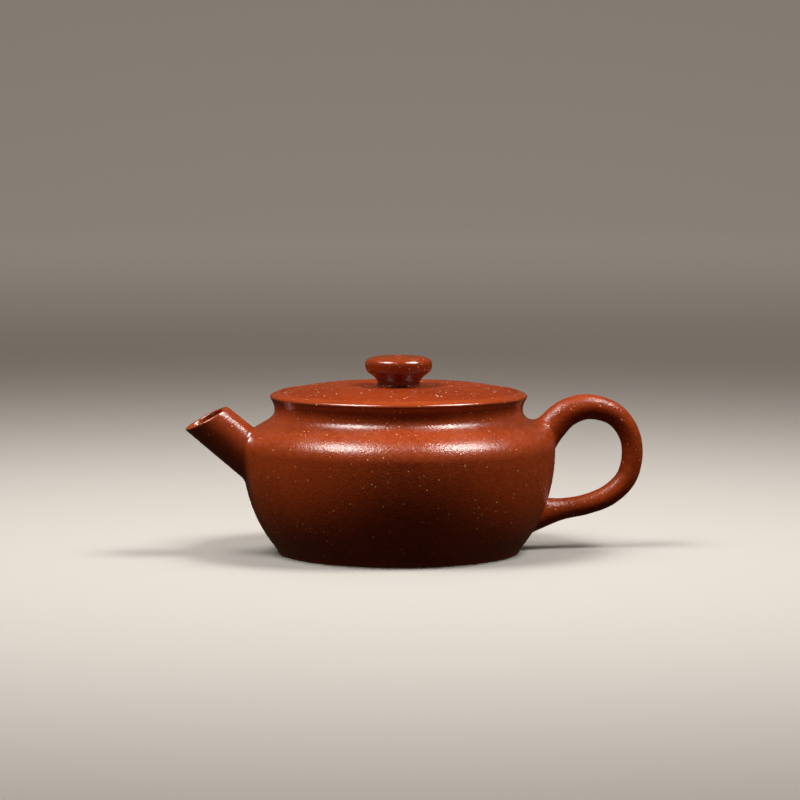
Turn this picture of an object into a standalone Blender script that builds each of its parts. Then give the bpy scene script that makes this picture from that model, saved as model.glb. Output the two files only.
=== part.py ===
"""A small squat clay teapot with an inset lid, made of the pieces that a potter joins with slip.

Outlines are half sections (radius, height) in millimetres about the pot's own axis, with the
table at height 0. The scene is in metres, +Z is up and +X points towards the handle.
"""

import math

import bmesh
import bpy
from mathutils import Matrix, Vector
from mathutils.geometry import interpolate_bezier

MM = 0.001
TURN_STEPS = 48  # facets round the body and the lid
KNOB_STEPS = 32
JOINT = 0.3  # open slip joint between neighbouring pieces
AXIS_X = -5.2  # the pot's axis: the handle reaches further out than the spout

# The body's outside, as a chain of curves: foot, belly, shoulder, neck, lip
FOOT_R = 34.6
FOOT_SLOPE = math.radians(48)
BELLY_R, BELLY_Z = 45.8, 30.6
SHOULDER_R, SHOULDER_Z = 41.5, 37.0
SHOULDER_SLOPE = math.radians(31)
NECK_R, NECK_Z = 36.3, 42.1
LIP_R, LIP_Z = 37.6, 45.9
RIM_Z = 47.3
LIP_CORNER = 0.8
LIP_SLOPE = 25  # degrees that the lip's top falls outwards
LIP_PEAK = 1.25  # how far outside the lid's seat the lip is highest
WALL = 2.4

# How far each of those curves runs straight on from its two ends before it bends
FOOT_RUN, BELLY_RUN_DOWN = 4.0, 18.0
BELLY_RUN_UP, SHOULDER_RUN_DOWN = 1.4, 4.4
SHOULDER_RUN_UP, NECK_RUN_DOWN = 3.6, 2.5
NECK_RUN_UP, LIP_RUN_DOWN = 2.0, 0.6
OUTLINE_TOLERANCE = 0.2  # outline points closer than this to a joint give way to the joint's own

# Heights on the outside where the body's pieces are joined
FOOT_TOP_Z = 2.0
BASE_TOP_Z = 4.6
WALL_TOP_Z = 35.9
NECK_FOOT_Z = 38.9
NECK_TOP_Z = 43.2
FOOT_INNER_R = 30.6
FOOT_EDGE = 0.9
BASE_RISE = 0.5
BASE_FLAT = 4.0  # width of the base's level border inside the foot ring

# Mouth and lid
THROAT_R = 32.2
SEAT_R = 34.1
SEAT_Z = 44.6
LID_R = 33.8
LID_EDGE_Z = 46.8
LID_CROWN_Z = 49.2
LID_FLAT_R = 20.0
LID_DISH_R, LID_DISH_Z = 9.0, 48.65  # the middle sinks a little round the knob
LID_UNDER_RISE = 2.0
FLANGE_R = 31.8
FLANGE_WALL = 2.2
FLANGE_LENGTH = 6.6
FLANGE_EDGE = 0.5
LID_VENT_R = 2.2

# Knob
KNOB_R = 9.8
KNOB_SIDE_Z = 54.8
KNOB_TOP_Z = 57.8
KNOB_CROWN_END = Vector((8.1, 57.1))
KNOB_JAW = Vector((9.25, 53.0))
STEM_R = 6.2
STEM_FILLET = 1.1
VENT_R = 0.9
VENT_BELL_R = 1.9

# Spout: a straight, barely tapering tube, its mouth cut along a line 28 degrees above level
SPOUT_ROOT = Vector((-40.2, 0.0, 26.55))
SPOUT_TIP = Vector((-56.55, 0.0, 40.15))
SPOUT_MOUTH_SLOPE = math.radians(28)
SPOUT_ROOT_R = 6.8
SPOUT_TIP_R = 6.45
SPOUT_BORE_ROOT_R = 4.9
SPOUT_BORE_TIP_R = 4.75
SPOUT_STEPS = 28
SPOUT_HOLE_Z = 28.8  # the round hole through the belly behind the spout
SPOUT_HOLE_R = 4.8
CUTTER_OVERSHOOT = 15.0
MOUTH_BLOCK_SIDE = 40.0

# Strainer: a pierced dome behind the spout's hole
STRAINER_CENTRE = Vector((-41.2, 0.0, 28.5))
STRAINER_R = 7.0
STRAINER_WALL = 1.2
STRAINER_HOLE_R = 0.8
STRAINER_HOLE_RINGS = ((0, 1), (27, 6), (54, 11))  # degrees off the dome's axis, holes
STRAINER_HOLE_STEPS = 8
BALL_SEGMENTS, BALL_RINGS = 24, 14

# Handle: centre line (x, z) and the clay's radius at each point, upper root to lower root
HANDLE_LINE = (
    (41.8, 31.4, 4.9),
    (45.5, 36.1, 4.5),
    (50.2, 40.2, 4.1),
    (56.8, 41.9, 3.7),
    (64.3, 39.6, 3.35),
    (68.8, 34.0, 3.15),
    (69.9, 27.3, 3.1),
    (68.0, 20.5, 3.1),
    (62.8, 15.6, 3.1),
    (56.0, 13.0, 3.0),
    (49.6, 11.9, 3.1),
    (44.9, 11.2, 3.9),
    (38.7, 10.0, 5.2),
)
HANDLE_RINGS_PER_SPAN = 4

CLAY_COLOUR = (0.245, 0.055, 0.021, 1.0)
INNER_CLAY_COLOUR = (0.205, 0.050, 0.022, 1.0)
LID_CLAY_COLOUR = (0.290, 0.066, 0.024, 1.0)
CLAY_ROUGHNESS = 0.42


def clear_scene():
    for obj in list(bpy.data.objects):
        bpy.data.objects.remove(obj, do_unlink=True)


def new_collection(name):
    collection = bpy.data.collections.new(name)
    bpy.context.scene.collection.children.link(collection)
    return collection


def new_empty(name, location):
    empty = bpy.data.objects.new(name, None)
    empty.location = location
    PARTS.objects.link(empty)
    return empty


def clay(name, colour=CLAY_COLOUR, roughness=CLAY_ROUGHNESS):
    material = bpy.data.materials.new(name)
    material.use_nodes = True
    shader = material.node_tree.nodes["Principled BSDF"]
    shader.inputs["Base Color"].default_value = colour
    shader.inputs["Roughness"].default_value = roughness
    shader.inputs["Metallic"].default_value = 0.0
    material.diffuse_color = colour
    return material


# Outlines


def curve_points(start, start_handle, end_handle, end, count):
    """A cubic curve's points without its last one, so that curves can be chained."""
    corners = [Vector(point).to_3d() for point in (start, start_handle, end_handle, end)]
    return [point.to_2d() for point in interpolate_bezier(*corners, count + 1)][:-1]


def body_outline():
    """The outside of the body from the foot up to the widest point of the lip."""
    foot = Vector((FOOT_R, 0.0))
    belly = Vector((BELLY_R, BELLY_Z))
    shoulder = Vector((SHOULDER_R, SHOULDER_Z))
    neck = Vector((NECK_R, NECK_Z))
    lip = Vector((LIP_R, LIP_Z))
    up = Vector((0.0, 1.0))
    off_foot = Vector((math.cos(FOOT_SLOPE), math.sin(FOOT_SLOPE)))
    inward = Vector((-math.cos(SHOULDER_SLOPE), math.sin(SHOULDER_SLOPE)))
    spans = (
        (foot, FOOT_RUN * off_foot, BELLY_RUN_DOWN * up, belly, 10),
        (belly, BELLY_RUN_UP * up, SHOULDER_RUN_DOWN * inward, shoulder, 7),
        (shoulder, SHOULDER_RUN_UP * inward, NECK_RUN_DOWN * up, neck, 6),
        (neck, NECK_RUN_UP * up, LIP_RUN_DOWN * up, lip, 4),
    )
    points = []
    for start, leaving, arriving, end, count in spans:
        points += curve_points(start, start + leaving, end - arriving, end, count)
    return points + [lip]


def outline_part(low, high):
    """The body's outline between two heights, bottom to top, with points at both heights."""
    lowest, highest = low + OUTLINE_TOLERANCE, high - OUTLINE_TOLERANCE
    inside = [point for point in BODY_OUTLINE if lowest < point.y < highest]
    return [outline_at(low), *inside, outline_at(high)]


def outline_at(height):
    for below, above in zip(BODY_OUTLINE, BODY_OUTLINE[1:]):
        if below.y <= height <= above.y:
            return below.lerp(above, (height - below.y) / (above.y - below.y))
    return BODY_OUTLINE[-1].copy()


def offset_outline(points, distance):
    """The outline moved square to itself, outwards for a positive distance."""
    moved = []
    for index, point in enumerate(points):
        before = points[max(index - 1, 0)]
        after = points[min(index + 1, len(points) - 1)]
        along = (after - before).normalized()
        moved.append(point + distance * Vector((along.y, -along.x)))
    return moved


def ring_section(low, high):
    """A closed section of the body's wall: down its outside, then up its inside."""
    outside = outline_part(low, high)
    inside = offset_outline(outside, -WALL)
    return outside[::-1] + inside


def arc(centre, radius, start, end, count):
    """Points on a circle from one angle to another, in degrees."""
    angles = (math.radians(start + (end - start) * i / (count - 1)) for i in range(count))
    return [Vector(centre) + radius * Vector((math.cos(a), math.sin(a))) for a in angles]


# Solids


def add_piece(name, mesh, material, parent, collection=None):
    piece = bpy.data.objects.new(name, mesh)
    (collection or PARTS).objects.link(piece)
    piece.parent = parent
    piece.matrix_parent_inverse = Matrix.Identity(4)
    if material:
        mesh.materials.append(material)
    return piece


def turned(name, section, material, parent, closed=True, steps=TURN_STEPS, collection=None):
    """A half section swept round the axis: a ring when closed, or a disc that meets the axis."""
    mesh = bpy.data.meshes.new(name)
    corners = [(r * MM, 0.0, z * MM) for r, z in section]
    edges = [(i, i + 1) for i in range(len(corners) - 1)]
    if closed:
        edges.append((len(corners) - 1, 0))
    mesh.from_pydata(corners, edges, [])
    piece = add_piece(name, mesh, material, parent, collection)
    screw = piece.modifiers.new("turn", "SCREW")
    screw.axis = "Z"
    screw.steps = steps
    screw.render_steps = steps
    screw.use_merge_vertices = True
    screw.merge_threshold = 0.00001
    screw.use_smooth_shade = True
    return piece


def mesh_of(name, shape):
    mesh = bpy.data.meshes.new(name)
    shape.to_mesh(mesh)
    shape.free()
    return mesh


def cone_mesh(name, start, end, start_radius, end_radius, steps):
    """A closed round bar from start to end, in millimetres."""
    shape = bmesh.new()
    axis = end - start
    turn = axis.to_track_quat("Z", "Y").to_matrix().to_4x4()
    bmesh.ops.create_cone(
        shape,
        cap_ends=True,
        segments=steps,
        radius1=start_radius * MM,
        radius2=end_radius * MM,
        depth=axis.length * MM,
        matrix=Matrix.Translation((start + end) * 0.5 * MM) @ turn,
    )
    return mesh_of(name, shape)


def ball_mesh(name, centre, radius):
    shape = bmesh.new()
    bmesh.ops.create_uvsphere(
        shape,
        u_segments=BALL_SEGMENTS,
        v_segments=BALL_RINGS,
        radius=radius * MM,
        matrix=Matrix.Translation(centre * MM),
    )
    return mesh_of(name, shape)


def as_cutter(cutter):
    cutter.hide_render = True
    cutter.display_type = "WIRE"
    return cutter


def cut(piece, cutter, operation="DIFFERENCE"):
    boolean = piece.modifiers.new(cutter.name, "BOOLEAN")
    boolean.operation = operation
    boolean.solver = "EXACT"
    boolean.object = cutter


# The body


def make_foot_ring(parent):
    outside = outline_part(1.0, FOOT_TOP_Z)
    outer_edge = arc((FOOT_R, FOOT_EDGE), FOOT_EDGE, -10, -90, 3)
    inner_edge = arc((FOOT_INNER_R + FOOT_EDGE, FOOT_EDGE), FOOT_EDGE, -90, -180, 3)
    section = outside[::-1] + outer_edge + inner_edge + [Vector((FOOT_INNER_R, FOOT_TOP_Z))]
    return turned("foot_ring", section, clay("foot_ring_clay"), parent)


def make_base_plate(parent):
    """A disc whose middle is pressed up a little, so that the pot stands on its ring."""
    bottom_z = FOOT_TOP_Z + JOINT
    outside = outline_part(bottom_z, BASE_TOP_Z)
    section = [
        Vector((0.0, BASE_TOP_Z + BASE_RISE)),
        Vector((FOOT_INNER_R - BASE_FLAT, BASE_TOP_Z)),
        *outside[::-1],
        Vector((FOOT_INNER_R - BASE_FLAT, bottom_z)),
        Vector((0.0, bottom_z + BASE_RISE)),
    ]
    return turned("base_plate", section, clay("base_plate_clay"), parent, closed=False)


def make_belly_wall(parent):
    """The beaten strip, pierced where the spout is joined on."""
    section = ring_section(BASE_TOP_Z + JOINT, WALL_TOP_Z)
    wall = turned("belly_wall", section, clay("belly_clay"), parent)
    start = Vector((-BELLY_R - WALL, 0.0, SPOUT_HOLE_Z))
    end = Vector((-BELLY_R + 3 * WALL, 0.0, SPOUT_HOLE_Z))
    hole = cone_mesh("spout_hole", start, end, SPOUT_HOLE_R, SPOUT_HOLE_R, SPOUT_STEPS)
    cut(wall, as_cutter(add_piece("spout_hole", hole, None, parent, CUTTERS)))
    return wall


def make_shoulder_plate(parent):
    """The upper disc, its rim resting on the wall and its middle cut away under the neck."""
    section = ring_section(WALL_TOP_Z + JOINT, NECK_FOOT_Z - JOINT)
    return turned("shoulder_plate", section, clay("shoulder_clay"), parent)


def make_neck_ring(parent):
    outside = outline_part(NECK_FOOT_Z, NECK_TOP_Z)
    section = [
        *outside[::-1],
        Vector((NECK_R - 0.6, NECK_FOOT_Z - 1.4)),
        Vector((THROAT_R + 0.5, NECK_FOOT_Z - 1.0)),
        Vector((THROAT_R, NECK_FOOT_Z)),
        Vector((THROAT_R, NECK_TOP_Z)),
    ]
    return turned("neck_ring", section, clay("neck_clay"), parent)


def make_mouth_rim(parent):
    """The flared lip. Its ledge carries the lid's edge."""
    outside = outline_part(NECK_TOP_Z + JOINT, LIP_Z)
    corner = arc((LIP_R - LIP_CORNER, LIP_Z), LIP_CORNER, 20, 90 - LIP_SLOPE, 3)
    section = [
        Vector((SEAT_R + LIP_PEAK, RIM_Z)),
        *corner[::-1],
        *outside[::-1],
        Vector((THROAT_R, NECK_TOP_Z + JOINT)),
        Vector((THROAT_R, SEAT_Z)),
        Vector((SEAT_R, SEAT_Z)),
        Vector((SEAT_R, LID_EDGE_Z - 0.3)),
        Vector((SEAT_R + 0.4, RIM_Z - 0.3)),
    ]
    return turned("mouth_rim", section, clay("rim_clay"), parent)


# The spout and its strainer


def spout_direction():
    return (SPOUT_TIP - SPOUT_ROOT).normalized()


def make_spout(parent, body_envelope):
    """A tapering tube, cut to the belly at its root and obliquely at its mouth."""
    over = CUTTER_OVERSHOOT * spout_direction()
    taper = (SPOUT_ROOT_R - SPOUT_TIP_R) / (SPOUT_TIP - SPOUT_ROOT).length
    far_radius = SPOUT_TIP_R - taper * over.length
    tube = cone_mesh("spout", SPOUT_ROOT, SPOUT_TIP + over, SPOUT_ROOT_R, far_radius, SPOUT_STEPS)
    spout = add_piece("spout", tube, clay("spout_clay"), parent)
    cut(spout, body_envelope)
    cut(spout, make_spout_bore(parent))
    cut(spout, make_mouth_block(parent))
    tube.shade_smooth()
    tube.set_sharp_from_angle(angle=math.radians(40))
    return spout


def make_spout_bore(parent):
    over = (CUTTER_OVERSHOOT + 2.0) * spout_direction()
    taper = (SPOUT_BORE_ROOT_R - SPOUT_BORE_TIP_R) / (SPOUT_TIP - SPOUT_ROOT).length
    near_radius = SPOUT_BORE_ROOT_R + taper * over.length
    far_radius = SPOUT_BORE_TIP_R - taper * over.length
    start, end = SPOUT_ROOT - over, SPOUT_TIP + over
    mesh = cone_mesh("spout_bore", start, end, near_radius, far_radius, SPOUT_STEPS)
    return as_cutter(add_piece("spout_bore", mesh, None, parent, CUTTERS))


def make_mouth_block(parent):
    """A block whose lower face is the oblique plane of the spout's mouth."""
    side = MOUTH_BLOCK_SIDE * MM
    shape = bmesh.new()
    bmesh.ops.create_cube(shape, size=side)
    mesh = mesh_of("spout_mouth_plane", shape)
    block = add_piece("spout_mouth_plane", mesh, None, parent, CUTTERS)
    block.rotation_euler = (0.0, -SPOUT_MOUTH_SLOPE, 0.0)
    normal = Vector((-math.sin(SPOUT_MOUTH_SLOPE), 0.0, math.cos(SPOUT_MOUTH_SLOPE)))
    block.location = SPOUT_TIP * MM + normal * side / 2
    return as_cutter(block)


def strainer_hole_directions():
    """Unit vectors from the dome's centre into the pot, one for each hole."""
    directions = []
    for tilt, count in STRAINER_HOLE_RINGS:
        for index in range(count):
            turn = math.tau * index / count
            lean = math.radians(tilt)
            sideways = Vector((0.0, math.cos(turn), math.sin(turn)))
            directions.append(Vector((math.cos(lean), 0.0, 0.0)) + math.sin(lean) * sideways)
    return directions


def make_strainer(parent, chamber):
    """A hollow ball, kept only where it stands inside the pot and pierced towards the tea."""
    ball = ball_mesh("strainer", STRAINER_CENTRE, STRAINER_R)
    strainer = add_piece("strainer", ball, clay("strainer_clay", INNER_CLAY_COLOUR), parent)
    cut(strainer, chamber, "INTERSECT")
    hollow = ball_mesh("strainer_hollow", STRAINER_CENTRE, STRAINER_R - STRAINER_WALL)
    cut(strainer, as_cutter(add_piece("strainer_hollow", hollow, None, parent, CUTTERS)))
    for index, direction in enumerate(strainer_hole_directions()):
        name = f"strainer_pin_{index}"
        start = STRAINER_CENTRE + direction * (STRAINER_R - 2 * STRAINER_WALL)
        end = STRAINER_CENTRE + direction * (STRAINER_R + STRAINER_WALL)
        pin = cone_mesh(name, start, end, STRAINER_HOLE_R, STRAINER_HOLE_R, STRAINER_HOLE_STEPS)
        cut(strainer, as_cutter(add_piece(name, pin, None, parent, CUTTERS)))
    return strainer


# The handle


def make_handle(parent, body_envelope):
    """A round coil of clay bent to an ear, thicker at both roots, cut to the belly."""
    curve = bpy.data.curves.new("handle_line", "CURVE")
    curve.dimensions = "3D"
    curve.bevel_depth = MM
    curve.bevel_resolution = 2
    curve.use_fill_caps = True
    curve.resolution_u = HANDLE_RINGS_PER_SPAN
    spline = curve.splines.new("BEZIER")
    spline.bezier_points.add(len(HANDLE_LINE) - 1)
    for point, (x, z, radius) in zip(spline.bezier_points, HANDLE_LINE):
        point.co = (x * MM, 0.0, z * MM)
        point.radius = radius
        point.handle_left_type = "AUTO"
        point.handle_right_type = "AUTO"
    guide = bpy.data.objects.new("handle_line", curve)
    PARTS.objects.link(guide)
    guide.parent = parent
    handle = mesh_of_curve(guide, "handle", clay("handle_clay"), parent)
    cut(handle, body_envelope)
    return handle


def mesh_of_curve(guide, name, material, parent):
    """The curve made a mesh with its caps welded on. The curve itself is removed."""
    bpy.context.view_layer.update()
    graph = bpy.context.evaluated_depsgraph_get()
    mesh = bpy.data.meshes.new_from_object(guide.evaluated_get(graph))
    mesh.name = name
    shape = bmesh.new()
    shape.from_mesh(mesh)
    bmesh.ops.remove_doubles(shape, verts=shape.verts, dist=0.000001)
    shape.to_mesh(mesh)
    shape.free()
    mesh.shade_smooth()
    piece = add_piece(name, mesh, material, parent)
    bpy.data.objects.remove(guide, do_unlink=True)
    return piece


# The lid


def lid_outline():
    """The lid's top from its edge inwards: a rounded border, an almost flat crown, a shallow dish."""
    edge = Vector((LID_R, LID_EDGE_Z))
    flat = Vector((LID_FLAT_R, LID_CROWN_Z))
    off_edge = edge + Vector((-1.6, 1.3))
    off_flat = flat + Vector((5.5, -0.15))
    dish = Vector((LID_DISH_R, LID_DISH_Z))
    crown = curve_points(edge, off_edge, off_flat, flat, 6)
    return crown + curve_points(flat, flat - Vector((4.0, 0.0)), dish + Vector((3.0, 0.0)), dish, 3) + [dish]


def make_lid_plate(parent):
    under_z = SEAT_Z + JOINT
    section = [
        Vector((LID_VENT_R, LID_DISH_Z)),
        *lid_outline()[::-1],
        Vector((LID_R, under_z)),
        Vector((FLANGE_R - FLANGE_WALL - 1.0, under_z)),
        Vector((LID_FLAT_R, under_z + LID_UNDER_RISE)),
        Vector((LID_VENT_R, under_z + LID_UNDER_RISE)),
    ]
    return turned("lid_plate", section, clay("lid_clay", LID_CLAY_COLOUR), parent)


def make_lid_flange(parent):
    top_z = SEAT_Z
    bottom_z = top_z - FLANGE_LENGTH
    section = [
        Vector((FLANGE_R, top_z)),
        Vector((FLANGE_R, bottom_z + FLANGE_EDGE)),
        Vector((FLANGE_R - FLANGE_EDGE, bottom_z)),
        Vector((FLANGE_R - FLANGE_WALL + FLANGE_EDGE, bottom_z)),
        Vector((FLANGE_R - FLANGE_WALL, bottom_z + FLANGE_EDGE)),
        Vector((FLANGE_R - FLANGE_WALL, top_z)),
    ]
    return turned("lid_flange", section, clay("flange_clay", INNER_CLAY_COLOUR), parent)


def make_knob(parent):
    """A turned button: crowned top, bulged side, waisted stem, and a vent that opens to a bell."""
    base_z = LID_DISH_Z + JOINT
    vent_edge = Vector((VENT_R + 0.4, KNOB_TOP_Z))
    stem_foot = Vector((STEM_R, base_z + STEM_FILLET))
    above_crown = KNOB_CROWN_END + Vector((-1.6, 0.4))
    crown = curve_points(vent_edge, (KNOB_R * 0.5, KNOB_TOP_Z), above_crown, KNOB_CROWN_END, 4)
    bulge = KNOB_R + 0.2
    side = curve_points(
        KNOB_CROWN_END, (bulge, KNOB_CROWN_END.y - 0.5), (bulge, KNOB_SIDE_Z - 0.4), KNOB_JAW, 6
    )
    below_jaw = KNOB_JAW + Vector((-1.2, -0.9))
    waist = curve_points(KNOB_JAW, below_jaw, (STEM_R, base_z + 1.2), stem_foot, 5)
    section = [
        *crown,
        *side,
        *waist,
        stem_foot,
        Vector((STEM_R + STEM_FILLET, base_z)),
        Vector((VENT_BELL_R, base_z)),
        Vector((VENT_R, KNOB_SIDE_Z)),
        Vector((VENT_R, KNOB_TOP_Z - 0.3)),
    ]
    return turned("knob", section, clay("knob_clay", LID_CLAY_COLOUR), parent, steps=KNOB_STEPS)


# Assembly


def make_envelope(parent):
    """The body's outside grown by one joint, which trims the roots of the spout and the handle."""
    grown = offset_outline(outline_part(0.0, LIP_Z), JOINT)
    section = [Vector((0.0, LIP_Z + 1.0)), *grown[::-1], Vector((0.0, -1.0))]
    return as_cutter(turned("body_envelope", section, None, parent, closed=False, collection=CUTTERS))


def make_chamber(parent):
    """The space inside the belly, one joint clear of its wall."""
    inside = offset_outline(outline_part(BASE_TOP_Z + 1.0, NECK_FOOT_Z), -WALL - JOINT)
    section = [Vector((0.0, inside[-1].y)), *inside[::-1], Vector((0.0, inside[0].y))]
    return as_cutter(turned("chamber", section, None, parent, closed=False, collection=CUTTERS))


clear_scene()
PARTS = new_collection("teapot")
CUTTERS = new_collection("teapot_cutters")
BODY_OUTLINE = body_outline()

pot_axis = new_empty("pot_axis", (AXIS_X * MM, 0.0, 0.0))
lid_axis = new_empty("lid_lift_axis", (AXIS_X * MM, 0.0, 0.0))

envelope = make_envelope(pot_axis)
make_foot_ring(pot_axis)
make_base_plate(pot_axis)
make_belly_wall(pot_axis)
make_shoulder_plate(pot_axis)
make_neck_ring(pot_axis)
make_mouth_rim(pot_axis)
make_spout(pot_axis, envelope)
make_strainer(pot_axis, make_chamber(pot_axis))
make_handle(pot_axis, envelope)
make_lid_plate(lid_axis)
make_lid_flange(lid_axis)
make_knob(lid_axis)
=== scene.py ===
import math

import bpy
import numpy as np
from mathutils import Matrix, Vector


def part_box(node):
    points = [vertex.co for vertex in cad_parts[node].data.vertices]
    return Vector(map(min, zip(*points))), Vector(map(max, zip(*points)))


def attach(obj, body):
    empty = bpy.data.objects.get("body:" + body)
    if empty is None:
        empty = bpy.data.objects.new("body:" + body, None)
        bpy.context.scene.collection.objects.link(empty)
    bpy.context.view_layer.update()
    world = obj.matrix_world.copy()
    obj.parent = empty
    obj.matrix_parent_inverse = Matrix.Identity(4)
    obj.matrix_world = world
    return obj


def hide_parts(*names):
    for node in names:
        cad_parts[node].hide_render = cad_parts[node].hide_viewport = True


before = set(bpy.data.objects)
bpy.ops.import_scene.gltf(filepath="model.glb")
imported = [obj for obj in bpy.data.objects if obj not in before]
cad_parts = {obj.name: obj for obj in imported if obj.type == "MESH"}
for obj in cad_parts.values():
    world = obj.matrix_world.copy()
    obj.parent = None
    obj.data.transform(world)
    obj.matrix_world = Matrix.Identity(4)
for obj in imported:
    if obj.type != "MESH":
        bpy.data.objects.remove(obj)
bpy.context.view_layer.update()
mm = 0.001


# The frame gives the pot's axis and the heights of the joints. Shapes below are in millimetres
# about that axis: r outwards, z up from the table.
footLow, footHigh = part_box("foot_ring")
potX = (footLow.x + footHigh.x) / 2 / mm


def jointHeight(lower, upper):
    # halfway through the open joint between two neighbouring nodes
    return (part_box(lower)[1].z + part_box(upper)[0].z) / 2 / mm


def cadTop(node):
    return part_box(node)[1].z / mm


def cadBottom(node):
    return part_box(node)[0].z / mm


def cadRadius(node):
    low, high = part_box(node)
    return (high.y - low.y) / 2 / mm


# Curves and grids


def bezier(start, startHandle, endHandle, end, count):
    # cubic: the four corners weighted by (1-t)^3, 3t(1-t)^2, 3t^2(1-t) and t^3
    t = np.linspace(0, 1, count)[:, None]
    corners = [np.asarray(corner, float) for corner in (start, startHandle, endHandle, end)]
    weights = ((1 - t) ** 3, 3 * t * (1 - t) ** 2, 3 * t**2 * (1 - t), t**3)
    return sum(weight * corner for weight, corner in zip(weights, corners))


def quadratic(start, corner, end, t):
    # the start, the corner and the end weighted by (1-t)^2, 2t(1-t) and t^2
    return (1 - t) ** 2 * start + 2 * t * (1 - t) * corner + t**2 * end


def arc(centre, radius, fromDegrees, toDegrees, count):
    # centre plus radius times (cos, sin) of an angle that runs evenly between two values
    angle = np.radians(np.linspace(fromDegrees, toDegrees, count))
    return np.asarray(centre, float) + radius * np.stack([np.cos(angle), np.sin(angle)], 1)


def chain(*parts):
    # outlines end to end, without the points that two neighbours share
    points = np.vstack(parts)
    step = np.linalg.norm(np.diff(points, axis=0), axis=1)
    return points[np.concatenate([[True], step > 1e-6])]


def evenly(points, spacing):
    # the same outline with its points the same length of line apart
    run = np.concatenate([[0], np.cumsum(np.linalg.norm(np.diff(points, axis=0), axis=1))])
    count = max(int(round(run[-1] / spacing)), 1) + 1
    at = np.linspace(0, run[-1], count)
    return np.stack([np.interp(at, run, column) for column in points.T], 1)


def sideways(points):
    # unit normals on the right of the way the outline runs: outwards where it climbs
    along = np.gradient(points, axis=0)
    along /= np.linalg.norm(along, axis=1)[:, None]
    return np.stack([along[:, 1], -along[:, 0]], 1)


def roundedCorner(before, after, size):
    # both outlines cut back from their shared corner, with a quadratic across the gap
    back = np.linalg.norm(before - before[-1], axis=1) > size
    on = np.linalg.norm(after - after[0], axis=1) > size
    start, end = before[back][-1], after[on][0]
    t = np.linspace(0, 1, 7)[:, None]
    return chain(before[back], quadratic(start, before[-1], end, t)), after[on]


def meshFromGrid(name, points, closedRows, poles=False):
    # points[i, j] joined to (i, j+1), (i+1, j+1) and (i+1, j) in quads that face outwards; columns
    # always wrap round, and rows wrap too on a ring, or end in a fan at a pole
    rows, columns = points.shape[:2]
    corner = np.arange(rows * columns).reshape(rows, columns)
    above = corner if closedRows else corner[:-1]
    below = np.roll(corner, -1, 0) if closedRows else corner[1:]
    quads = np.stack([above, np.roll(above, -1, 1), np.roll(below, -1, 1), below], -1).reshape(-1, 4)
    places = points.reshape(-1, 3)
    loops = quads.reshape(-1)
    starts = np.arange(len(quads)) * 4
    if poles:
        top, bottom = len(places), len(places) + 1
        places = np.vstack([places, points[0].mean(0), points[-1].mean(0)])
        first, last = corner[0], corner[-1]
        fans = np.vstack([
            np.stack([np.full(columns, top), np.roll(first, -1), first], 1),
            np.stack([np.full(columns, bottom), last, np.roll(last, -1)], 1),
        ])
        starts = np.concatenate([starts, len(loops) + np.arange(len(fans)) * 3])
        loops = np.concatenate([loops, fans.reshape(-1)])
    mesh = bpy.data.meshes.new(name)
    mesh.vertices.add(len(places))
    mesh.vertices.foreach_set("co", (places * mm).astype(np.float32).ravel())
    mesh.loops.add(len(loops))
    mesh.loops.foreach_set("vertex_index", loops.astype(np.int32))
    mesh.polygons.add(len(starts))
    mesh.polygons.foreach_set("loop_start", starts.astype(np.int32))
    mesh.update(calc_edges=True)
    mesh.validate()
    mesh.shade_smooth()
    mesh.set_sharp_from_angle(angle=math.radians(38))
    return mesh


def newPiece(name, mesh, body, node, material):
    piece = bpy.data.objects.new(name, mesh)
    bpy.context.scene.collection.objects.link(piece)
    mesh.materials.append(material)
    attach(piece, body)
    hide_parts(node)
    return piece


# The hand of the potter

handMarks = dict(depth=0.05, fullFrom=12.0, waves=((3, 0.06, 0.4), (5, 0.11, 2.1), (8, 0.17, 4.0)))


def handmade(points):
    # every surface is drawn in by depth * (1 + mean of sin(turns * angle + climb * z + start)) / 2,
    # and by less inside the radius from which the draw is full
    x, y, z = points[..., 0] - potX, points[..., 1], points[..., 2]
    angle = np.arctan2(y, x)
    wave = sum(np.sin(turns * angle + climb * z + start) for turns, climb, start in handMarks["waves"])
    shrink = handMarks["depth"] * (0.5 + wave / 2 / len(handMarks["waves"]))
    scale = 1 - shrink / np.maximum(np.hypot(x, y), handMarks["fullFrom"])
    return np.stack([potX + x * scale, y * scale, z], -1)


def turnedGrid(outline, columns):
    # the outline's radius swept round the axis: (r cos a, r sin a, z)
    angle = -np.linspace(0, 2 * math.pi, columns, endpoint=False)
    r, z = outline[:, :1], outline[:, 1:]
    return np.stack([potX + r * np.cos(angle), r * np.sin(angle), z + 0 * angle], -1)


def turnedPiece(name, outline, body, node, material, columns=320, closed=True):
    grid = handmade(turnedGrid(outline, columns))
    mesh = meshFromGrid(name, grid, closed, poles=not closed)
    return newPiece(name, mesh, body, node, material)


# The clay


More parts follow.
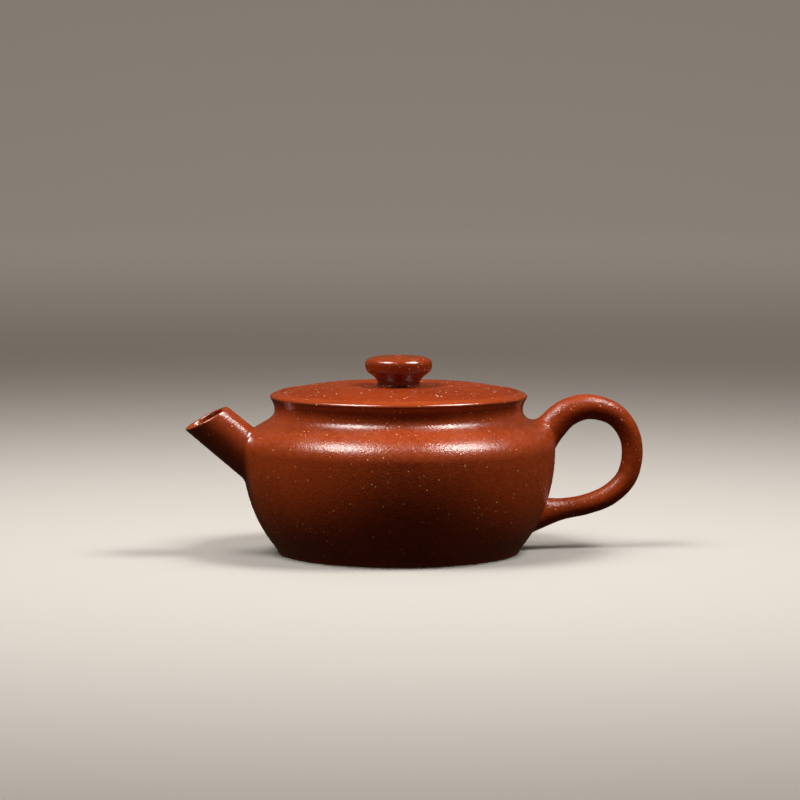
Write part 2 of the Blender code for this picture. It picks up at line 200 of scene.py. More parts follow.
def clayMaterial(name, look):
    material = bpy.data.materials.new(name)
    material.use_nodes = True
    tree = material.node_tree
    nodes, links = tree.nodes, tree.links
    shader = nodes["Principled BSDF"]
    place = nodes.new("ShaderNodeTexCoord").outputs["Object"]

    def noise(size, detail=3.0, roughness=0.55):
        node = nodes.new("ShaderNodeTexNoise")
        node.inputs["Scale"].default_value = 1 / (size * mm)
        node.inputs["Detail"].default_value = detail
        node.inputs["Roughness"].default_value = roughness
        links.new(place, node.inputs["Vector"])
        return node.outputs["Fac"]

    def remap(value, low, high, toLow=0.0, toHigh=1.0):
        node = nodes.new("ShaderNodeMapRange")
        node.interpolation_type = "SMOOTHSTEP"
        node.inputs["From Min"].default_value = low
        node.inputs["From Max"].default_value = high
        node.inputs["To Min"].default_value = toLow
        node.inputs["To Max"].default_value = toHigh
        links.new(value, node.inputs["Value"])
        return node.outputs["Result"]

    def sums(operation, first, second):
        node = nodes.new("ShaderNodeMath")
        node.operation = operation
        for socket, value in zip(node.inputs, (first, second)):
            if isinstance(value, (int, float)):
                socket.default_value = value
            else:
                links.new(value, socket)
        return node.outputs["Value"]

    def mixed(share, first, second):
        node = nodes.new("ShaderNodeMix")
        node.data_type = "RGBA"
        links.new(share, node.inputs["Factor"])
        for socket, value in ((node.inputs[6], first), (node.inputs[7], second)):
            if isinstance(value, tuple):
                socket.default_value = (*value, 1.0)
            else:
                links.new(value, socket)
        return node.outputs[2]

    def grains(kind, soft):
        # a grain at the middle of some cells of a 3-D honeycomb: chosen by the cell's red, its radius
        # 0.55 to 1.3 of the mean by the cell's green, solid where that radius exceeds the distance
        spacing, radius, share = look[kind + "Spacing"], look[kind + "Size"], look[kind + "Share"]
        cells = nodes.new("ShaderNodeTexVoronoi")
        cells.inputs["Scale"].default_value = 1 / (spacing * mm)
        links.new(place, cells.inputs["Vector"])
        split = nodes.new("ShaderNodeSeparateColor")
        links.new(cells.outputs["Color"], split.inputs["Color"])
        chosen = sums("LESS_THAN", split.outputs["Red"], share)
        size = remap(split.outputs["Green"], 0.0, 1.0, radius * 0.55 / spacing, radius * 1.3 / spacing)
        edge = sums("SUBTRACT", size, cells.outputs["Distance"])
        inside = remap(edge, 0.0, soft / spacing)
        return sums("MULTIPLY", inside, chosen), split.outputs["Blue"]

    # the body colour drifts over the pot, with finer mottling from the mix of clays
    drift = remap(noise(26, 2.0), 0.3, 0.7)
    mottle = remap(noise(1.6, 4.0, 0.65), 0.35, 0.68)
    colour = mixed(drift, look["deep"], look["warm"])
    colour = mixed(sums("MULTIPLY", mottle, look["mottle"]), colour, look["bright"])

    # two grades of sand, scattered golden grains and a finer pale dust between them, and dark pits
    sand, sandTone = grains("sand", 0.05)
    dust, dustTone = grains("dust", 0.06)
    pits, _ = grains("pit", 0.08)
    colour = mixed(sums("MULTIPLY", pits, look["pitStrength"]), colour, look["pit"])
    dustColour = mixed(dustTone, look["dustA"], look["dustB"])
    colour = mixed(sums("MULTIPLY", dust, look["dustStrength"]), colour, dustColour)
    sandColour = mixed(sandTone, look["sandA"], look["sandB"])
    colour = mixed(sums("MULTIPLY", sand, look["sandStrength"]), colour, sandColour)
    links.new(colour, shader.inputs["Base Color"])

    # burnished skin: shiny where the horn tool pressed, duller in the grain
    skin = noise(0.9, 4.0, 0.6)
    patch = noise(9, 2.0)
    rough = remap(skin, 0.3, 0.7, look["gloss"], look["matt"])
    rough = sums("ADD", rough, remap(patch, 0.35, 0.65, -0.03, 0.03))
    links.new(rough, shader.inputs["Roughness"])
    shader.inputs["Metallic"].default_value = 0.0
    shader.inputs["IOR"].default_value = 1.52
    shader.inputs["Specular IOR Level"].default_value = look["specular"]

    # height in mm: orange peel plus wider dimples, sand and dust standing just proud, pits sunk in
    height = sums("MULTIPLY", noise(0.62, 2.0, 0.5), look["peel"])
    height = sums("ADD", height, sums("MULTIPLY", noise(2.6, 2.0), look["dimple"]))
    height = sums("ADD", height, sums("MULTIPLY", sand, look["sandProud"]))
    height = sums("ADD", height, sums("MULTIPLY", dust, look["dustProud"]))
    height = sums("SUBTRACT", height, sums("MULTIPLY", pits, look["pitDepth"]))
    bump = nodes.new("ShaderNodeBump")
    bump.inputs["Strength"].default_value = look["bump"]
    bump.inputs["Distance"].default_value = mm
    links.new(height, bump.inputs["Height"])
    links.new(bump.outputs["Normal"], shader.inputs["Normal"])
    material.diffuse_color = (*look["warm"], 1.0)
    return material


bodyLook = dict(
    deep=(0.212, 0.0245, 0.0036), warm=(0.278, 0.0365, 0.0050), bright=(0.370, 0.060, 0.0085), mottle=0.38,
    pit=(0.060, 0.010, 0.003), pitSpacing=1.7, pitSize=0.13, pitShare=0.35, pitStrength=0.55, pitDepth=0.025,
    sandSpacing=1.10, sandSize=0.17, sandShare=0.27, sandStrength=0.95,
    sandA=(0.95, 0.50, 0.12), sandB=(0.95, 0.58, 0.38), sandProud=0.020,
    dustSpacing=0.62, dustSize=0.10, dustShare=0.22, dustStrength=0.40,
    dustA=(0.62, 0.22, 0.06), dustB=(0.72, 0.28, 0.16), dustProud=0.010,
    gloss=0.20, matt=0.34, specular=0.62, peel=0.105, dimple=0.035, bump=1.0,
)
# painted shade: the lid's deep, warm and bright colours are a darker copy of the body's clay, to take down
# the light that its upward face gets from the lamps overhead; its sand and dust are the clay's own
lidLookPaintedShade = dict(
    bodyLook, deep=(0.160, 0.017, 0.0022), warm=(0.198, 0.0225, 0.0027), bright=(0.262, 0.038, 0.0050),
    sandShare=0.34, sandSize=0.215, sandA=(0.98, 0.66, 0.38), sandB=(0.98, 0.76, 0.66),
    dustShare=0.45, dustStrength=0.5, gloss=0.26, matt=0.42, specular=0.20,
)
rimLook = dict(bodyLook, sandShare=0.42, gloss=0.13, matt=0.21, peel=0.05, specular=0.85)
spoutLook = dict(bodyLook, gloss=0.15, matt=0.24, peel=0.06, specular=1.0)
handleLook = dict(bodyLook, gloss=0.22, matt=0.38, peel=0.14, sandShare=0.36, specular=0.32)
# painted shade: the knob's deep, warm and bright colours are a darker copy of the body's clay, to take down
# the light that its top and side get from the lamps overhead; its sand and dust are the clay's own
knobLookPaintedShade = dict(
    bodyLook, deep=(0.165, 0.018, 0.0024), warm=(0.205, 0.024, 0.0032), bright=(0.270, 0.040, 0.0055),
    sandSpacing=0.95, sandShare=0.50, sandSize=0.16, dustShare=0.50, dustStrength=0.6,
    peel=0.07, gloss=0.12, matt=0.20, specular=0.7,
)
innerLook = dict(
    bodyLook, deep=(0.170, 0.036, 0.014), warm=(0.215, 0.050, 0.019), gloss=0.55, matt=0.72, specular=0.35,
    peel=0.035, dimple=0.060, sandShare=0.20,
)

bodyClay = clayMaterial("burnishedClay", bodyLook)
rimClay = clayMaterial("rimClay", rimLook)
spoutClay = clayMaterial("spoutClay", spoutLook)
handleClay = clayMaterial("handleClay", handleLook)
lidClayPaintedShade = clayMaterial("lidClayPaintedShade", lidLookPaintedShade)
knobClayPaintedShade = clayMaterial("knobClayPaintedShade", knobLookPaintedShade)
innerClay = clayMaterial("innerClay", innerLook)
print("clay mixed")

# The body

bodyShape = dict(
    footR=34.6, footSlope=48, bellyZ=30.6, shoulder=(41.5, 37.0), shoulderSlope=31,
    neck=(36.3, 42.1), lipZ=45.9, wall=2.4, footInnerR=30.6, baseRise=0.5,
    throatR=32.2, seatR=34.1, lipCorner=0.8, lipSlope=25, spacing=0.32, leanAllowance=1.3,
    footPull=4.0, bellyPull=(18.0, 1.4), shoulderPull=(4.4, 3.6), neckPull=(2.5, 2.0), lipPull=0.6,
    footRound=1.0, footInnerRound=0.9, tongue=0.12, tongueRise=0.45, baseTongueRise=0.4,
)
gap = 0.3  # the open joint between two neighbouring nodes of the CAD
bellyR = cadRadius("belly_wall")
lipR = cadRadius("mouth_rim")
rimZ = cadTop("mouth_rim")


def bodyOutline():
    # four cubics in a row, foot to belly to shoulder to neck to lip; each leaves the last along its own
    # direction, pulled that way by the millimetres given below and above the point
    shape = bodyShape
    bellyBelow, bellyAbove = shape["bellyPull"]
    shoulderBelow, shoulderAbove = shape["shoulderPull"]
    neckBelow, neckAbove = shape["neckPull"]
    foot, belly = np.array([shape["footR"], 0.0]), np.array([bellyR, shape["bellyZ"]])
    shoulder, neck = np.array(shape["shoulder"]), np.array(shape["neck"])
    lip, up = np.array([lipR, shape["lipZ"]]), np.array([0.0, 1.0])
    slope = math.radians(shape["footSlope"])
    offFoot = np.array([math.cos(slope), math.sin(slope)])
    lean = math.radians(shape["shoulderSlope"])
    inward = np.array([-math.cos(lean), math.sin(lean)])
    return evenly(chain(
        bezier(foot, foot + shape["footPull"] * offFoot, belly - bellyBelow * up, belly, 200),
        bezier(belly, belly + bellyAbove * up, shoulder - shoulderBelow * inward, shoulder, 120),
        bezier(shoulder, shoulder + shoulderAbove * inward, neck - neckBelow * up, neck, 120),
        bezier(neck, neck + neckAbove * up, lip - shape["lipPull"] * up, lip, 80),
    ), 0.05)


outline = bodyOutline()
outlineOut = sideways(outline)


def skinAt(low, high, inset=0.0):
    # the body's outside between two heights, bottom to top, moved inwards square to itself
    count = max(int((high - low) / bodyShape["spacing"] * bodyShape["leanAllowance"]), 3)
    at = np.linspace(low, high, count)
    points = np.stack([np.interp(at, outline[:, 1], outline[:, 0]), at], 1)
    normals = np.stack([np.interp(at, outline[:, 1], outlineOut[:, k]) for k in (0, 1)], 1)
    return points - inset * normals


def outsideDown(low, high, rise):
    # down the outside, from a thin tongue that runs on under the skin of the piece above
    tongue = skinAt(high, min(high + rise, bodyShape["lipZ"]), bodyShape["tongue"])
    return chain(tongue[::-1], skinAt(low, high)[::-1])


def wallSection(low, high):
    # down the outside, then up the inside from a foot that closes the joint below
    inside = skinAt(low, high, bodyShape["wall"])
    return chain(outsideDown(low, high, bodyShape["tongueRise"]), inside[:1] - [0.0, gap], inside)


wallLow = jointHeight("base_plate", "belly_wall")
plateLow = jointHeight("foot_ring", "base_plate")
wallTop = cadTop("belly_wall") + gap / 2
neckLow = cadTop("shoulder_plate") + gap / 2
rimLow = jointHeight("neck_ring", "mouth_rim")


def makeFoot():
    # a strip with its outside on the body's skin and both edges of its foot rounded
    shape = bodyShape
    inner, footRound, innerRound = shape["footInnerR"], shape["footRound"], shape["footInnerRound"]
    section = chain(
        outsideDown(footRound, plateLow, shape["baseTongueRise"]),
        arc((shape["footR"] - 0.1, footRound), footRound, -15, -90, 10),
        arc((inner + innerRound, innerRound), innerRound, -90, -180, 9),
        [[inner, plateLow + 0.4]],
    )
    turnedPiece("footRing", section, "pot", "foot_ring", bodyClay)


def makeBase():
    # a disc whose two faces rise a little towards the middle, its rim on the body's skin
    inner, rise = bodyShape["footInnerR"], bodyShape["baseRise"]
    underZ, upperZ, middle = plateLow + 0.1, wallLow - gap / 2, 0.4
    under = evenly(np.array([[middle, underZ + rise], [inner - 6.0, underZ]]), 1.2)
    upper = evenly(np.array([[inner - 4.0, upperZ], [middle, upperZ + rise]]), 1.2)
    section = chain(
        upper[::-1], outsideDown(plateLow, wallLow, bodyShape["baseTongueRise"]),
        [[inner + 0.6, plateLow + 0.02], [inner - 2.0, plateLow + 0.05]], under[::-1],
    )
    turnedPiece("basePlate", section, "pot", "base_plate", bodyClay, closed=False)


def makeNeck():
    # the hollow-sided collar outside, a straight throat inside that flares into the shoulder
    throat = bodyShape["throatR"]
    flareR, throatLow = cadRadius("neck_ring") - 2.0, neckLow + 0.4
    flare = bezier(
        (flareR, neckLow - 1.2), (36.0, neckLow - 2.2), (throat, neckLow - 1.9), (throat, throatLow), 14,
    )
    section = chain(
        outsideDown(neckLow, rimLow, bodyShape["tongueRise"]), flare,
        evenly(np.array([[throat, throatLow], [throat, rimLow]]), 0.6),
    )
    turnedPiece("neckRing", section, "pot", "neck_ring", bodyClay)


def makeRim():
    # from the inner bead over its peak, down the sloping lip and its corner, the flared outside,
    # then up the throat, across the ledge that the lid lies on and up to the bead again
    shape = bodyShape
    throat, seatR, corner = shape["throatR"], shape["seatR"], shape["lipCorner"]
    seatZ, lipLow = cadBottom("lid_plate") - gap, shape["lipZ"] - 0.2
    beadR, beadLow, throatTop = seatR + 0.5, rimZ - 0.45, seatZ - 0.25
    peak = np.array([beadR + 0.75, rimZ - 0.06])
    edge = arc((lipR - corner, lipLow), corner, 90 - shape["lipSlope"], 0, 18)
    section = chain(
        bezier((beadR, beadLow), (beadR, rimZ - 0.15), (beadR + 0.3, rimZ), peak, 8),
        evenly(np.array([peak, edge[0]]), 0.3), edge, skinAt(rimLow, lipLow)[::-1],
        [[throat, rimLow], [throat, throatTop]], arc((throat + 0.25, throatTop), 0.25, 180, 90, 5),
        [[seatR - 0.2, seatZ], [seatR, seatZ + 0.2], [seatR, rimZ - 1.2]],
        bezier((seatR, rimZ - 1.2), (seatR, rimZ - 0.9), (beadR, rimZ - 0.75), (beadR, beadLow), 8),
    )[:-1]
    turnedPiece("mouthRim", section, "pot", "mouth_rim", rimClay, columns=384)


def makeBody():
    makeFoot()
    makeBase()
    wall = wallSection(wallLow, wallTop)
    belly = turnedPiece("bellyWall", wall, "pot", "belly_wall", bodyClay)
    shoulder = wallSection(wallTop, neckLow)
    turnedPiece("shoulderPlate", shoulder, "pot", "shoulder_plate", bodyClay)
    makeNeck()
    makeRim()
    return belly


holeShape = dict(start=-48.5, end=-38.5, z=28.8, radius=4.8, columns=72, turn=0.03)


def pierceBelly(belly):
    # a round bar along x, (x, R cos a, z + R sin a), taken out of the wall behind the spout; it is
    # turned a little, so that none of its edges runs along a seam of the wall
    shape = holeShape
    ends = np.linspace(shape["start"], shape["end"], 3)[:, None] + potX
    angle = np.linspace(0, 2 * math.pi, shape["columns"], endpoint=False) + shape["turn"]
    y = shape["radius"] * np.cos(angle) + 0 * ends
    z = shape["z"] + shape["radius"] * np.sin(angle) + 0 * ends
    grid = np.stack([ends + 0 * angle, y, z], -1)
    bar = bpy.data.objects.new("holeBar", meshFromGrid("holeBar", grid, False, poles=True))
    bpy.context.scene.collection.objects.link(bar)
    cut = belly.modifiers.new("spoutHole", "BOOLEAN")
    cut.operation, cut.solver, cut.object = "DIFFERENCE", "EXACT", bar
    graph = bpy.context.evaluated_depsgraph_get()
    pierced = bpy.data.meshes.new_from_object(belly.evaluated_get(graph))
    belly.modifiers.remove(cut)
    belly.data = pierced
    bpy.data.objects.remove(bar, do_unlink=True)


pierceBelly(makeBody())
print("body turned")

# Joining round pieces to the belly


def depthIn(points):
    # how far outside the belly a point is: its distance from the axis less the belly's radius at its height
    reach = np.hypot(points[..., 0] - potX, points[..., 1])
    return reach - np.interp(points[..., 2], outline[:, 1], outline[:, 0])


def bellyNormal(points):
    # the outline's normal at the point's height, its radial part turned to face the point
    side = points[..., :2] - np.array([potX, 0.0])
    side = side / np.linalg.norm(side, axis=-1)[..., None]
    radial = np.interp(points[..., 2], outline[:, 1], outlineOut[:, 0])
    rise = np.interp(points[..., 2], outline[:, 1], outlineOut[:, 1])
    return np.concatenate([side * radial[..., None], rise[..., None]], -1)


def meetBelly(lines):
    # lines[i, j] runs from outside in as i grows: where each column first goes under the skin
    depth = depthIn(lines)
    hit = np.argmax(depth < 0, axis=0)
    column = np.arange(lines.shape[1])
    outer, inner = depth[hit - 1, column], depth[hit, column]
    share = outer / (outer - inner)
    point = lines[hit - 1, column] * (1 - share)[:, None] + lines[hit, column] * share[:, None]
    return point, hit - 1 + share


def rowsAt(lines, at):
    # lines read at a fractional row of its own for each column
    low = np.clip(np.floor(at).astype(int), 0, lines.shape[0] - 2)
    share = (at - low)[..., None]
    column = np.arange(lines.shape[1])
    return lines[low, column] * (1 - share) + lines[low + 1, column] * share


def filletRows(lines, wideLines, gather, rows):
    # a quadratic from each line to the skin around it; its corner is where the line's own direction
    # meets the plane that touches the belly at the landing, so it lands flat
    landing, _ = meetBelly(wideLines)
    _, at = meetBelly(lines)
    step = np.linalg.norm(np.diff(lines, axis=0), axis=-1).mean()
    fromRow = at - gather / step
    start = rowsAt(lines, fromRow)
    heading = rowsAt(lines, fromRow + 1.0) - start
    heading /= np.linalg.norm(heading, axis=-1)[:, None]
    normal = bellyNormal(landing)
    reach = ((landing - start) * normal).sum(-1) / (heading * normal).sum(-1)
    corner = start + reach[:, None] * heading
    t = np.linspace(0, 1, rows)[1:, None, None]
    return quadratic(start, corner, landing, t), fromRow, landing, normal


# The spout

spoutShape = dict(
    root=(-40.2, 26.55), tip=(-56.55, 40.15), mouthSlope=28, rootR=6.8, tipR=6.45, boreR=4.8,
    edge=0.45, lipFlat=(0.30, 0.72), gather=1.5, spread=1.5, tuck=0.9, insideTo=-6.0, boreFrom=2.2,
    columns=144,
)


def makeSpout():
    shape = spoutShape
    root = np.array([potX + shape["root"][0], 0.0, shape["root"][1]])
    tip = np.array([potX + shape["tip"][0], 0.0, shape["tip"][1]])
    length = np.linalg.norm(tip - root)
    along = (tip - root) / length
    across = np.array([0.0, 1.0, 0.0])
    over = np.cross(along, across)
    angle = np.linspace(0, 2 * math.pi, shape["columns"], endpoint=False)
    spoke = np.cos(angle)[:, None] * over + np.sin(angle)[:, None] * across
    slope = math.radians(shape["mouthSlope"])
    mouth = np.array([-math.sin(slope), 0.0, math.cos(slope)])
    taper = (shape["tipR"] - shape["rootR"]) / length

    def mouthAt(radius, change):
        # distance up the axis at which each straight line of the tube meets the mouth's slanting plane
        lean = spoke @ mouth
        return -((root - tip) @ mouth + radius * lean) / (along @ mouth + change * lean)

    def tube(extra, ends):
        # straight lines of the tapering tube, root + t along + (R + taper t) spoke, from its mouth
        # to well inside the belly
        t = np.linspace(ends, shape["insideTo"], 500)
        return root + t[..., None] * along + (shape["rootR"] + taper * t + extra)[..., None] * spoke

    top = mouthAt(shape["rootR"], taper)
    lines = tube(0.0, top - shape["edge"])
    fillet, fromRow, landing, normal = filletRows(lines, tube(shape["spread"], top), shape["gather"], 14)
    share = np.linspace(0, 1, 60)[:, None]
    skin = rowsAt(lines, share * fromRow)
    boreTop = mouthAt(shape["boreR"], 0.0)
    outerRim = root + top[:, None] * along + (shape["rootR"] + taper * top)[:, None] * spoke
    innerRim = root + boreTop[:, None] * along + shape["boreR"] * spoke
    flat, flatIn = (outerRim + (innerRim - outerRim) * part for part in shape["lipFlat"])
    bore = innerRim - shape["edge"] * along
    t = np.linspace(0, 1, 7)[:, None, None]
    outerEdge = quadratic(flat, outerRim, skin[0], t)[:-1]
    innerEdge = quadratic(bore, innerRim, flatIn, t)
    under = landing - shape["tuck"] * normal
    boreRoot = root + shape["boreFrom"] * along + shape["boreR"] * spoke
    t = np.linspace(0, 1, 24)[:-1, None, None]
    boreWall = boreRoot + (bore - boreRoot) * t
    rows = np.concatenate([boreWall, innerEdge, outerEdge, skin, fillet, under[None]])
    mesh = meshFromGrid("spout", rows, True)
    newPiece("spoutTube", mesh, "pot", "spout", spoutClay)


makeSpout()
print("spout joined on")

# The handle

handleShape = dict(
    line=(
        (41.8, 31.4, 4.9), (45.5, 36.1, 4.5), (50.2, 40.2, 4.1), (56.8, 41.9, 3.7), (64.3, 39.6, 3.35),
        (68.8, 34.0, 3.15), (69.9, 27.3, 3.1), (68.0, 20.5, 3.1), (62.8, 15.6, 3.1), (56.0, 13.0, 3.0),
        (49.6, 11.9, 3.1), (44.9, 11.2, 3.9), (38.7, 10.0, 5.2),
    ),
    columns=112, rows=220, spacing=0.1, tuck=1.2,
    topGather=2.6, topSpread=1.5, topBelow=3.2, footGather=2.2, footSpread=1.1, footAbove=0.9,
)


def splineThrough(points, count):
    # cubic between neighbours b and c, parallel at each to the line between the two points around it:
    # half of 2b + (c - a) t + (2a - 5b + 4c - d) t^2 + (3b - a - 3c + d) t^3
    before = np.vstack([2 * points[0] - points[1], points, 2 * points[-1] - points[-2]])
    at = np.linspace(0, len(points) - 1, count)
    low = np.minimum(at.astype(int), len(points) - 2)
    t = (at - low)[:, None]
    a, b, c, d = (before[low + k] for k in range(4))
    return 0.5 * (2 * b + (c - a) * t + (2 * a - 5 * b + 4 * c - d) * t**2 + (3 * b - a - 3 * c + d) * t**3)


def makeHandle():
    shape = handleShape
    line = splineThrough(np.array(shape["line"]), 1200)
    # run straight on into the belly, so that every line of the tube's foot ends inside it
    onward = line[-1] + (line[-1] - line[-30]) * np.array([4.0, 4.0, 1.0])
    line = evenly(np.vstack([line, onward]), shape["spacing"])
    centre = np.stack([potX + line[:, 0], 0 * line[:, 0], line[:, 1]], 1)
    heading = np.gradient(centre, axis=0)
    heading /= np.linalg.norm(heading, axis=1)[:, None]
    across = np.array([0.0, 1.0, 0.0])
    outwards = np.cross(across, heading)
    angle = np.linspace(0, 2 * math.pi, shape["columns"], endpoint=False)
    spoke = np.cos(angle)[None, :, None] * outwards[:, None] + np.sin(angle)[None, :, None] * across

    def tube(spread=0.0, holeSide=0.0):
        # centre + (radius + extra) spoke, wider by the spread all round, and by more towards the hole
        extra = spread + holeSide * np.clip(-np.cos(angle), 0, 1)
        return centre[:, None] + (line[:, 2][:, None] + extra)[..., None] * spoke

    middle = len(line) // 2
    tops = tube()[middle::-1]
    feet = tube()[middle:]
    wideTops = tube(shape["topSpread"], shape["topBelow"])[middle::-1]
    wideFeet = tube(shape["footSpread"], shape["footAbove"])[middle:]
    topFillet, topRow, topLanding, topNormal = filletRows(tops, wideTops, shape["topGather"], 16)
    footFillet, footRow, footLanding, footNormal = filletRows(feet, wideFeet, shape["footGather"], 18)
    share = np.linspace(0, 1, shape["rows"] // 2)[:, None]
    upper = rowsAt(tops, share * topRow)
    lower = rowsAt(feet, share * footRow)
    rows = np.concatenate([
        (topLanding - shape["tuck"] * topNormal)[None], topFillet[::-1], upper[::-1], lower[1:], footFillet,
        (footLanding - shape["tuck"] * footNormal)[None],
    ])
    mesh = meshFromGrid("handle", rows, False, poles=True)
    newPiece("handleLoop", mesh, "pot", "handle", handleClay)


makeHandle()
print("handle joined on")

# The lid

lidShape = dict(
    fit=0.18, edgeZ=46.8, flatR=18.4, crown=49.2, dish=(9.0, 48.65), underRise=2.0,
    flangeR=31.8, flangeWall=2.2, ventR=2.2,
)


def makeLid():
    # a low crown that sinks to a dish round the knob, a rounded edge, a hollowed underside and a ring
    shape = lidShape
    lidR = cadRadius("lid_plate") + shape["fit"]
    underZ = cadBottom("lid_plate")
    edgeZ, crown = shape["edgeZ"], np.array([shape["flatR"], shape["crown"]])
    dish = np.array(shape["dish"])
    top = chain(
        bezier((lidR - 0.3, edgeZ), (lidR - 3.2, edgeZ + 1.35), crown + [8.0, -0.12], crown, 80),
        bezier(crown, crown - [4.0, -0.06], dish + [4.0, 0.0], dish, 24),
    )
    edge = bezier(
        (lidR, edgeZ - 0.5), (lidR, edgeZ - 0.2), (lidR - 0.1, edgeZ - 0.08), (lidR - 0.3, edgeZ), 6,
    )
    flangeR, flangeIn = shape["flangeR"], shape["flangeR"] - shape["flangeWall"]
    hollowZ = underZ + shape["underRise"]
    section = chain(
        evenly(np.array([[shape["ventR"], dish[1]], dish]), 0.8),
        top[::-1], edge[::-1], [[lidR, underZ + 0.15], [lidR - 0.15, underZ], [flangeIn - 1.0, underZ]],
        bezier((flangeIn - 1.0, underZ), (flangeIn - 3.0, underZ + 0.6), (24.0, hollowZ),
               (shape["flatR"], hollowZ), 24),
        [[shape["ventR"], hollowZ]],
    )
    turnedPiece("lidPlate", section, "lid", "lid_plate", lidClayPaintedShade, columns=384)
    low = cadBottom("lid_flange")
    ring = chain(
        evenly(np.array([[flangeR, underZ + 0.1], [flangeR, low + 0.6]]), 0.5),
        arc((flangeR - 0.6, low + 0.6), 0.6, 0, -90, 7),
        arc((flangeIn + 0.5, low + 0.5), 0.5, -90, -180, 6),
        evenly(np.array([[flangeIn, low + 0.5], [flangeIn, underZ + 0.1]]), 0.5),
    )
    turnedPiece("lidFlange", ring, "lid", "lid_flange", innerClay)


makeLid()
print("lid turned")

# The knob

knobShape = dict(
    crownEnd=(8.1, 57.08), side=(9.8, 55.2), jaw=(9.25, 53.0), jawRound=0.22, stemR=6.2, fillet=1.15,
    ventR=0.9, ventRound=0.2, ventLip=0.14, bellR=1.9, bellTop=54.8,
)


def makeKnob():
    # crown, bulged side, a crisp jaw, then a hollow waist that spreads into the lid
    shape = knobShape
    topZ, baseZ = cadTop("knob"), lidShape["dish"][1]
    endR, endZ = shape["crownEnd"]
    sideR, sideZ = shape["side"]
    jawR, jawZ = shape["jaw"]
    stemR, fillet, bellR = shape["stemR"], shape["fillet"], shape["bellR"]
    ventR, ventRound, bellTop = shape["ventR"], shape["ventRound"], shape["bellTop"]
    lipEnd, lipZ = ventR + 0.75, topZ - shape["ventLip"]
    crown = chain(
        bezier((ventR + ventRound, topZ), (ventR + 0.4, topZ), (lipEnd - 0.2, lipZ), (lipEnd, lipZ), 7),
        bezier((lipEnd, lipZ), (4.8, topZ - 0.12), (6.6, endZ + 0.42), (endR, endZ), 26),
    )
    side = chain(
        bezier((endR, endZ), (endR + 1.1, endZ - 0.32), (sideR, sideZ + 0.95), (sideR, sideZ), 26),
        bezier((sideR, sideZ), (sideR, sideZ - 0.8), (jawR + 0.35, jawZ + 0.65), (jawR, jawZ), 20),
    )
    waist = bezier((jawR, jawZ), (8.0, 52.15), (stemR, 50.9), (stemR, baseZ + 0.01 + fillet), 30)
    side, waist = roundedCorner(side, waist, shape["jawRound"])
    foot = arc((stemR + fillet, baseZ + 0.01 + fillet), fillet, 180, 270, 14)
    section = chain(
        crown, side, waist, foot,
        [[stemR + fillet, baseZ - gap], [bellR, baseZ - gap]],
        bezier((bellR, baseZ - gap), (bellR, baseZ + 2.0), (ventR, bellTop - 1.5), (ventR, bellTop), 12),
        [[ventR, topZ - ventRound]],
        arc((ventR + ventRound, topZ - ventRound), ventRound, 180, 100, 5),
    )
    turnedPiece("knobButton", section, "lid", "knob", knobClayPaintedShade, columns=192)


makeKnob()
print("knob turned")

# The strainer keeps its own shape

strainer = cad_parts["strainer"]
strainer.data.materials.clear()
strainer.data.materials.append(innerClay)

# Floor, light and camera

studio = dict(
    floor=(0.40, 0.385, 0.365), flatRings=(1.0, 400.0, 1200.0), reach=2600.0, rise=1600.0, columns=96,
    above=(0.106, 0.068, 0.045), below=(0.036, 0.022, 0.013), horizon=(-0.12, 0.06),
    lights=(
        # name, place, aim, width, depth, spread, watts, colour; places and sizes in metres;
        # the last light brightens only the wall behind
        ("softLeft", (-0.46, -0.20, 0.92), (0.0, 0.0, 0.03), 0.56, 0.44, 60, 1.75, (1.0, 0.97, 0.93)),
        ("softRight", (0.52, -0.12, 0.88), (0.0, 0.0, 0.03), 0.42, 0.40, 60, 1.50, (1.0, 0.96, 0.92)),
        ("roomLight", (0.0, 2.0, 2.6), (0.0, 2.6, 0.0), 3.0, 1.6, 150, 34.0, (1.0, 0.95, 0.89)),
    ),
)
eye = dict(distance=1.0159, height=0.1319, side=0.00039, pitch=4.909, turn=-9, lens=157.05)


def makeStudio():
    # a round floor that curves up into a pale wall: flat to its reach, then a quarter circle,
    # swept round as (r cos a, r sin a, z)
    bend = arc((studio["reach"], studio["rise"]), studio["rise"], -90, 0, 24)
    section = chain(np.array([[ring, 0.0] for ring in studio["flatRings"]]), bend)
    angle = np.linspace(0, 2 * math.pi, studio["columns"], endpoint=False)
    r, z = section[:, :1], section[:, 1:]
    grid = np.stack([r * np.cos(angle), r * np.sin(angle), z + 0 * angle], -1)
    rows, columns = grid.shape[:2]
    corner = np.arange(rows * columns).reshape(rows, columns)
    near, far = corner[:-1], corner[1:]
    quads = np.stack([near, far, np.roll(far, -1, 1), np.roll(near, -1, 1)], -1).reshape(-1, 4)
    mesh = bpy.data.meshes.new("studioFloor")
    places = grid.reshape(-1, 3) * mm
    mesh.from_pydata(places.tolist(), [], quads.tolist() + [corner[0].tolist()])
    mesh.shade_smooth()
    floor = bpy.data.objects.new("studioFloor", mesh)
    bpy.context.scene.collection.objects.link(floor)
    paint = bpy.data.materials.new("studioPaint")
    paint.use_nodes = True
    shader = paint.node_tree.nodes["Principled BSDF"]
    shader.inputs["Base Color"].default_value = (*studio["floor"], 1.0)
    shader.inputs["Roughness"].default_value = 0.9
    shader.inputs["Specular IOR Level"].default_value = 0.1
    mesh.materials.append(paint)
    # seen and shaded, but it sends neither bounced light nor a reflection back into the clay
    floor.visible_diffuse = False
    floor.visible_glossy = False


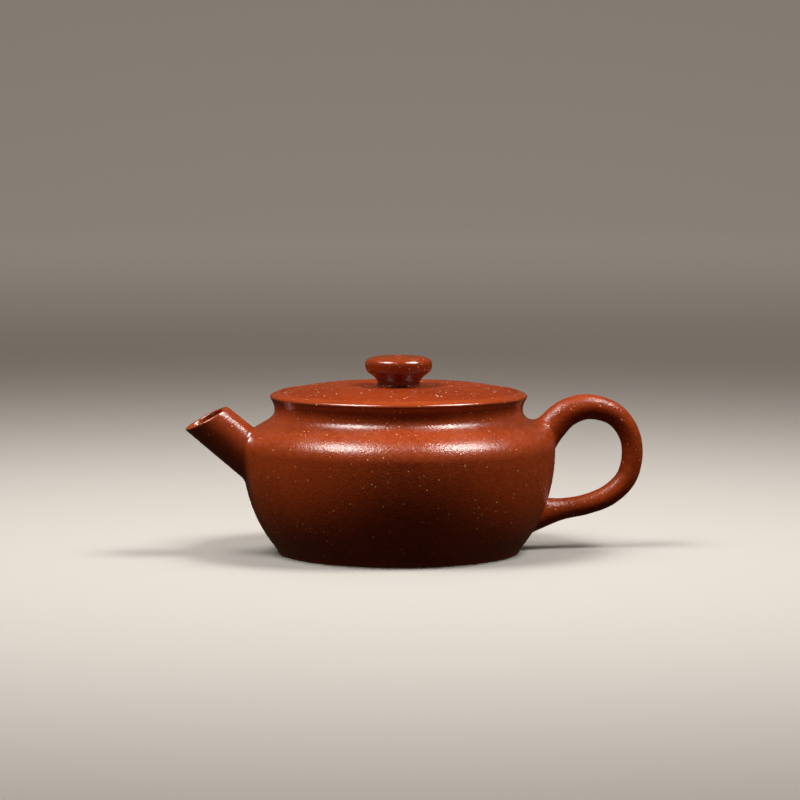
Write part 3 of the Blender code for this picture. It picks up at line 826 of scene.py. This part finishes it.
def roundPot(place):
    # a place given as the eye sees it, turned about the pot's axis with the eye
    turn = math.radians(eye["turn"])
    x, y, z = place
    return (potX * mm + x * math.cos(turn) - y * math.sin(turn), x * math.sin(turn) + y * math.cos(turn), z)


def aimAt(thing, target):
    thing.rotation_euler = (Vector(target) - thing.location).to_track_quat("-Z", "Y").to_euler()


def makeLights():
    world = bpy.data.worlds.new("studioWorld")
    world.use_nodes = True
    nodes, links = world.node_tree.nodes, world.node_tree.links
    # a dim room: darker below the horizon than above it, blended evenly across it
    direction = nodes.new("ShaderNodeTexCoord").outputs["Generated"]
    split = nodes.new("ShaderNodeSeparateXYZ")
    links.new(direction, split.inputs["Vector"])
    share = nodes.new("ShaderNodeMapRange")
    share.inputs["From Min"].default_value, share.inputs["From Max"].default_value = studio["horizon"]
    links.new(split.outputs["Z"], share.inputs["Value"])
    blend = nodes.new("ShaderNodeMix")
    blend.data_type = "RGBA"
    blend.inputs[6].default_value = (*studio["below"], 1.0)
    blend.inputs[7].default_value = (*studio["above"], 1.0)
    links.new(share.outputs["Result"], blend.inputs["Factor"])
    links.new(blend.outputs[2], nodes["Background"].inputs["Color"])
    bpy.context.scene.world = world
    for name, place, aim, width, depth, spread, watts, colour in studio["lights"]:
        lamp = bpy.data.lights.new(name, "AREA")
        lamp.shape = "RECTANGLE"
        lamp.size, lamp.size_y = width, depth
        lamp.energy, lamp.color, lamp.spread = watts, colour, math.radians(spread)
        holder = bpy.data.objects.new(name, lamp)
        holder.location = roundPot(place)
        aimAt(holder, roundPot(aim))
        holder.visible_glossy = name != "roomLight"
        bpy.context.scene.collection.objects.link(holder)


def makeCamera():
    lens = bpy.data.cameras.new("eye")
    lens.lens = eye["lens"]
    lens.sensor_width = 36.0
    lens.clip_start, lens.clip_end = 0.05, 50.0
    camera = bpy.data.objects.new("eye", lens)
    camera.location = roundPot((eye["side"], -eye["distance"], eye["height"]))
    camera.rotation_euler = (math.radians(90 - eye["pitch"]), 0.0, math.radians(eye["turn"]))
    bpy.context.scene.collection.objects.link(camera)
    bpy.context.scene.camera = camera


makeStudio()
makeLights()
makeCamera()
bpy.context.scene.view_settings.view_transform = "Standard"
print("studio set")
